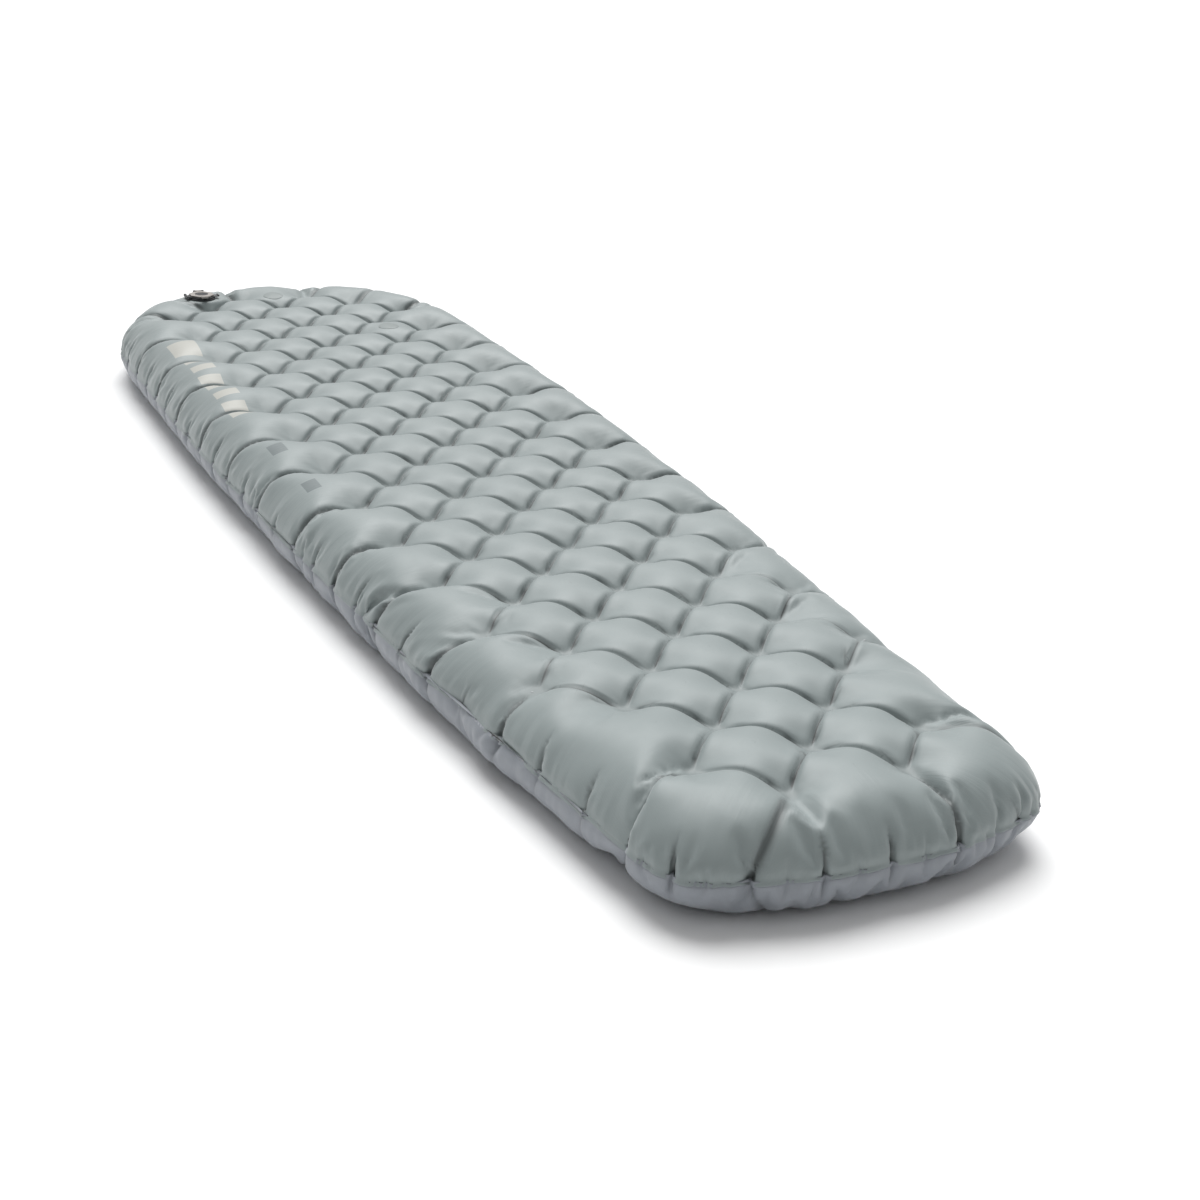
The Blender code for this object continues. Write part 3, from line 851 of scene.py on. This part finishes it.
def conforming_patch(name, node, top):
    """A thin round patch that follows the top sheet under it."""
    low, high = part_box(node)
    centre, radius = (low + high) / 2, (high.x - low.x) / 2
    graph = bpy.context.evaluated_depsgraph_get()
    surface = BVHTree.FromObject(top, graph)
    bm = bmesh.new()
    rings = []
    shape = [(radius * k / PATCH_RINGS, PATCH_LIFT) for k in range(1, PATCH_RINGS + 1)]
    shape += [(radius + 0.0004, PATCH_LIFT * 0.6), (radius + 0.0005, -0.0002)]
    for distance, lift in [(0, PATCH_LIFT)] + shape:
        count = 1 if distance == 0 else PATCH_POINTS
        row = []
        for k in range(count):
            angle = 2 * math.pi * k / count
            x = centre.x + distance * math.cos(angle)
            y = centre.y + distance * math.sin(angle)
            hit, normal, _, _ = surface.ray_cast(Vector((x, y, high.z + 0.05)), Vector((0, 0, -1)))
            row.append(bm.verts.new(hit + normal * lift))
        rings.append(row)
    for k in range(PATCH_POINTS):
        bm.faces.new((rings[0][0], rings[1][k], rings[1][(k + 1) % PATCH_POINTS]))
    for inner, outer in zip(rings[1:], rings[2:]):
        for k in range(PATCH_POINTS):
            after = (k + 1) % PATCH_POINTS
            bm.faces.new((inner[k], outer[k], outer[after], inner[after]))
    mesh = bpy.data.meshes.new(name)
    bm.to_mesh(mesh)
    bm.free()
    mesh.shade_smooth()
    return linked(name, mesh)


# ---------------- materials
def add(tree, kind, inputs=None, **settings):
    """Adds a shader node, sets its settings, and links or sets its inputs."""
    made = tree.nodes.new("ShaderNode" + kind)
    for key, value in settings.items():
        setattr(made, key, value)
    for key, value in (inputs or {}).items():
        if isinstance(value, bpy.types.NodeSocket):
            tree.links.new(value, made.inputs[key])
        else:
            made.inputs[key].default_value = value
    return made


def maths(tree, operation, *values):
    return add(tree, "Math", dict(enumerate(values)), operation=operation).outputs[0]


def mixed(tree, share, one, other):
    """Between two colours, by share."""
    made = add(tree, "Mix", {0: share}, data_type="RGBA")
    for socket, value in ((made.inputs[6], one), (made.inputs[7], other)):
        if isinstance(value, bpy.types.NodeSocket):
            tree.links.new(value, socket)
        else:
            socket.default_value = (*value, 1)
    return made.outputs[2]


def scaled(colour, factor):
    return tuple(part * factor for part in colour)


def noise_at(tree, where, scale, detail=3.0, roughness=0.5):
    return add(tree, "TexNoise", {
        "Vector": where, "Scale": scale, "Detail": detail, "Roughness": roughness,
    }).outputs["Fac"]


def spread(tree, value, low, high, to_low, to_high):
    return add(tree, "MapRange", {0: value, 1: low, 2: high, 3: to_low, 4: to_high}).outputs[0]


def bumped(tree, shader, height, strength, distance):
    bump = add(tree, "Bump", {"Height": height, "Strength": strength, "Distance": distance})
    tree.links.new(bump.outputs[0], shader.inputs["Normal"])


def fed(tree, shader, base, rough=None):
    """Links the colour, and the roughness where it varies."""
    tree.links.new(base, shader.inputs["Base Color"])
    if rough:
        tree.links.new(rough, shader.inputs["Roughness"])


def new_material(name, colour, roughness, **sockets):
    """A Principled material with plain values. Returns it with its tree, shader and object
    coordinates."""
    made = bpy.data.materials.new(name)
    made.use_nodes = True
    tree = made.node_tree
    shader = tree.nodes["Principled BSDF"]
    shader.inputs["Base Color"].default_value = (*colour, 1)
    shader.inputs["Roughness"].default_value = roughness
    for key, value in sockets.items():
        shader.inputs[key.replace("_", " ")].default_value = value
    made.diffuse_color = (*colour, 1)
    where = add(tree, "TexCoord").outputs["Object"]
    return made, tree, shader, where


def stored(tree, name):
    """The vectors kept in a mesh under a name, whole and in parts."""
    whole = add(tree, "Attribute", attribute_name=name).outputs["Vector"]
    return whole, add(tree, "SeparateXYZ", {0: whole}).outputs


def weave(tree, where, threads):
    """Crossed threads, as height from 0 to 1."""
    rows = [
        add(tree, "TexWave", {"Vector": where, "Scale": threads}, bands_direction=axis).outputs["Fac"]
        for axis in "XY"
    ]
    return maths(tree, "MAXIMUM", *rows)


def box_mark(tree, flat, centre, half):
    """1 inside a rectangle of the flat pattern, 0 outside."""
    inside = []
    for axis in (0, 1):
        off = maths(tree, "ABSOLUTE", maths(tree, "SUBTRACT", flat[axis], centre[axis]))
        inside.append(maths(tree, "LESS_THAN", off, half[axis]))
    return maths(tree, "MULTIPLY", *inside)


def fabric(name, colour, shade, with_marks_and_pit_shade):
    """Silky coated nylon: fine threads, slight unevenness of colour, faint weld dots, and painted shade
    in the creases and in the pits round the dots.
    """
    made, tree, shader, where = new_material(
        name, colour, 0.5, Sheen_Weight=0.25, Sheen_Roughness=0.4, Specular_IOR_Level=0.5
    )
    cloudy = noise_at(tree, where, 7.0, 4.0, 0.6)
    base = mixed(tree, spread(tree, cloudy, 0.3, 0.7, 0.0, 1.0), shade, colour)
    threads = weave(tree, where, 260.0)
    base = mixed(tree, spread(tree, threads, 0.0, 1.0, 0.10, 0.0), base, scaled(colour, 0.6))
    # painted shade: a line along the bottom of each crease, and the hollow round it
    _, (aside, mark, hollow) = stored(tree, "painted_crease_shade")
    line = spread(tree, maths(tree, "ABSOLUTE", aside), 0.0, CREASE_SHADE_LINE, CREASE_SHADE, 0.0)
    line = maths(tree, "MULTIPLY", line, mark)
    painted_shade = maths(tree, "MAXIMUM", line, maths(tree, "MULTIPLY", hollow, HOLLOW_SHADE))
    base = mixed(tree, painted_shade, base, scaled(colour, 0.1))
    if with_marks_and_pit_shade:
        from_dot, _ = stored(tree, "from_dot")
        distance = add(tree, "VectorMath", {0: from_dot}, operation="LENGTH").outputs["Value"]
        edge = spread(tree, maths(tree, "ABSOLUTE", maths(tree, "SUBTRACT", distance, WELD_RADIUS)),
                      0.0, 0.0012, 0.35, 0.0)
        # painted shade in the pit round each weld dot; the ring above is the weld's own
        inside = spread(tree, distance, WELD_RADIUS * 0.6, WELD_RADIUS * 2, DOT_SHADE, 0.0)
        weld_rings_and_pit_shade = maths(tree, "MAXIMUM", edge, inside)
        base = mixed(tree, weld_rings_and_pit_shade, base, scaled(colour, 0.5))
        _, flat = stored(tree, "flat")
        for ink, boxes in PRINTS:
            for centre, half in boxes:
                base = mixed(tree, box_mark(tree, flat, centre, half), base, ink)
    fed(tree, shader, base, spread(tree, noise_at(tree, where, 40.0), 0.3, 0.7, 0.46, 0.54))
    crinkle = noise_at(tree, where, 120.0, 4.0, 0.6)
    crinkle = maths(tree, "MULTIPLY", crinkle, 0.5)
    height = maths(tree, "ADD", maths(tree, "MULTIPLY", threads, 0.1), crinkle)
    if with_marks_and_pit_shade:
        wall_place, (_, _, on_wall) = stored(tree, "on_wall")
        pleats = add(tree, "Mapping", {"Vector": wall_place, "Scale": (210.0, 9.0, 0.0)}).outputs[0]
        pleat = noise_at(tree, pleats, 1.0, 2.0, 0.5)
        pleat = maths(tree, "MULTIPLY", pleat, maths(tree, "MULTIPLY", on_wall, 1.3))
        height = maths(tree, "ADD", height, pleat)
    bumped(tree, shader, height, 0.35, 0.0006)
    return made


def moulded(name, colour, roughness, worn=None):
    """Moulded plastic or rubber with a fine grain, and paler rubbed edges where worn."""
    made, tree, shader, where = new_material(name, colour, roughness)
    grain = noise_at(tree, where, 900.0, 3.0, 0.6)
    blotch = noise_at(tree, where, 90.0, 4.0, 0.6)
    paler = scaled(colour, 1.35)
    base = mixed(tree, spread(tree, blotch, 0.35, 0.65, 0.0, 1.0), colour, paler)
    if worn:
        rounded = add(tree, "Bevel", {"Radius": 0.0008}, samples=6).outputs[0]
        true = add(tree, "NewGeometry").outputs["Normal"]
        turn = add(tree, "VectorMath", {0: rounded, 1: true}, operation="DOT_PRODUCT").outputs["Value"]
        edge = spread(tree, turn, 0.995, 0.90, 0.0, 1.0)
        patchy = spread(tree, noise_at(tree, where, 350.0, 3.0, 0.7), 0.35, 0.6, 0.3, 1.0)
        base = mixed(tree, maths(tree, "MULTIPLY", edge, patchy), base, worn)
    fed(tree, shader, base, spread(tree, grain, 0.3, 0.7, roughness - 0.06, roughness + 0.08))
    bumped(tree, shader, grain, 0.25, 0.0002)
    return made


def film(name, colour):
    """Clear film for the tethers: milky, a little uneven."""
    made, tree, shader, where = new_material(name, colour, 0.35)
    haze = noise_at(tree, where, 60.0, 3.0, 0.5)
    base = mixed(tree, haze, scaled(colour, 0.85), scaled(colour, 1.1))
    fed(tree, shader, base)
    bumped(tree, shader, haze, 0.2, 0.0005)
    return made


def wadding(name, colour):
    """Fibrous insulation."""
    made, tree, shader, where = new_material(name, colour, 0.95, Sheen_Weight=0.4)
    stretched = add(tree, "Mapping", {"Vector": where, "Scale": (1.0, 6.0, 1.0)}).outputs[0]
    fibres = noise_at(tree, stretched, 220.0, 8.0, 0.75)
    base = mixed(tree, fibres, scaled(colour, 0.7), colour)
    fed(tree, shader, base)
    bumped(tree, shader, fibres, 0.8, 0.001)
    return made


def foil(name, colour):
    """Metallised film with a crinkle."""
    made, tree, shader, where = new_material(name, colour, 0.22, Metallic=0.9)
    crinkle = add(tree, "TexVoronoi", {"Vector": where, "Scale": 90.0}, feature="F1").outputs["Distance"]
    dull = spread(tree, noise_at(tree, where, 30.0), 0.3, 0.7, 0.16, 0.34)
    fed(tree, shader, mixed(tree, crinkle, scaled(colour, 0.85), colour), dull)
    bumped(tree, shader, crinkle, 0.5, 0.0008)
    return made


def steel(name, colour):
    """Drawn wire and pins, with fine scratches along them."""
    made, tree, shader, where = new_material(name, colour, 0.3, Metallic=1.0)
    stretched = add(tree, "Mapping", {"Vector": where, "Scale": (1.0, 1.0, 12.0)}).outputs[0]
    scratches = noise_at(tree, stretched, 1500.0, 4.0, 0.6)
    rough = spread(tree, scratches, 0.3, 0.7, 0.22, 0.42)
    fed(tree, shader, mixed(tree, scratches, scaled(colour, 0.8), colour), rough)
    bumped(tree, shader, scratches, 0.2, 0.0001)
    return made


def clad(piece, material):
    piece.data.materials.clear()
    piece.data.materials.append(material)


FINISHES = (  # slot, kind, and what that kind takes
    ("top_fabric", fabric, TOP_COLOUR, TOP_SHADE, True),
    ("bottom_fabric", fabric, BOTTOM_COLOUR, BOTTOM_SHADE, False),
    ("tether_film", film, (0.55, 0.57, 0.58)),
    ("wadding", wadding, (0.75, 0.75, 0.73)),
    ("foil", foil, (0.72, 0.73, 0.75)),
    ("valve_dark", moulded, (0.030, 0.032, 0.035), 0.42, (0.12, 0.12, 0.12)),
    ("valve_frame", moulded, (0.27, 0.25, 0.23), 0.42, (0.55, 0.52, 0.48)),
    ("soft_dark", moulded, (0.02, 0.02, 0.022), 0.7),
    ("steel", steel, (0.5, 0.5, 0.5)),
    ("patch_grey", fabric, PATCH_COLOUR, PATCH_SHADE, False),
)
MATERIALS = {slot: kind(slot, *rest) for slot, kind, *rest in FINISHES}

for part in frame["record"]["subparts"]:
    clad(frame["nodes"][part["node"]], MATERIALS[part["material_slot"]])


# ---------------- the pad
def build_pad():
    points, top_faces, bottom_faces, rim, flat = simulate_pad()
    count = len(flat)
    lower_flat = np.vstack([flat, flat[rim:]])
    sheets = []
    for name, faces, side in (("pad_top_fabric", top_faces, 1), ("pad_bottom_fabric", bottom_faces, -1)):
        more, more_flat, more_faces = lip(points, flat, rim, side)
        everything = np.vstack([points, more])
        flats = np.vstack([lower_flat, more_flat])
        made = sheet_object(name, everything, faces.tolist() + more_faces, flats)
        fine_folds(made, flat[:rim], side)
        sheets.append(made)
    return sheets


top, bottom = build_pad()
for piece, node, slot in ((top, "top_sheet", "top_fabric"), (bottom, "bottom_sheet", "bottom_fabric")):
    clad(piece, MATERIALS[slot])
    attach(piece, "pad")
    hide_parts(node)
for node in ("pillow_patch_head", "pillow_patch_side"):
    patch = conforming_patch(node + "_fabric", node, top)
    clad(patch, MATERIALS["patch_grey"])
    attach(patch, "pad")
    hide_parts(node)


def build_spring():
    """The valve's coil spring, a copy of the model's own, which moves with the plug."""
    made = linked("poppet_spring_wire", frame["nodes"]["poppet_spring"].data.copy())
    made.data.shade_smooth()
    clad(made, MATERIALS["steel"])
    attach(made, "plug")
    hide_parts("poppet_spring")
    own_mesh(made)


build_spring()


# ---------------- stage
def camera_matrix(place, yaw, pitch, roll):
    """A camera that looks along +Y, turned right by yaw, down by pitch and rolled."""
    ahead = Vector((math.sin(yaw) * math.cos(pitch), math.cos(yaw) * math.cos(pitch), -math.sin(pitch)))
    level = Vector((math.cos(yaw), -math.sin(yaw), 0))
    over = level.cross(ahead)
    right = math.cos(roll) * level + math.sin(roll) * over
    up = math.cos(roll) * over - math.sin(roll) * level
    turned = Matrix((right, up, -ahead)).transposed().to_4x4()
    return Matrix.Translation(place) @ turned


def build_camera():
    data = bpy.data.cameras.new("camera")
    data.sensor_width = 36
    data.lens = CAMERA_LENS
    made = linked("camera", data)
    made.matrix_world = camera_matrix(Vector(CAMERA_PLACE), CAMERA_YAW, CAMERA_PITCH, CAMERA_ROLL)
    bpy.context.scene.camera = made


def build_key():
    data = bpy.data.lights.new("key", "SUN")
    data.energy = KEY_STRENGTH
    data.angle = KEY_ANGLE
    made = linked("key", data)
    made.rotation_euler = (-Vector(KEY_DIRECTION)).to_track_quat("-Z", "Y").to_euler()


def build_floor():
    mesh = bpy.data.meshes.new("floor")
    size = 30.0
    corners = [(x * size, y * size, -0.0002) for x, y in ((-1, -1), (1, -1), (1, 1), (-1, 1))]
    mesh.from_pydata(corners, [], [(0, 1, 2, 3)])
    made = linked("floor", mesh)
    white, _, shader, _ = new_material("floor", (0.98, 0.98, 0.98), 0.9)
    shader.inputs["Specular IOR Level"].default_value = 0.0
    mesh.materials.append(white)


def build_world():
    world = bpy.data.worlds.new("studio")
    bpy.context.scene.world = world
    world.use_nodes = True
    tree = world.node_tree
    sky = tree.nodes["Background"]
    sky.inputs["Color"].default_value = (1, 1, 1, 1)
    ahead = add(tree, "TexCoord").outputs["Generated"]
    towards = tuple(Vector(KEY_DIRECTION).normalized())
    facing = add(tree, "VectorMath", {0: ahead, 1: towards}, operation="DOT_PRODUCT").outputs["Value"]
    bright = spread(tree, facing, -0.4, 1.0, SKY_FAR, SKY_NEAR)
    tree.links.new(bright, sky.inputs["Strength"])


build_camera()
build_floor()
build_world()
build_key()
bpy.context.scene.view_settings.view_transform = "Standard"
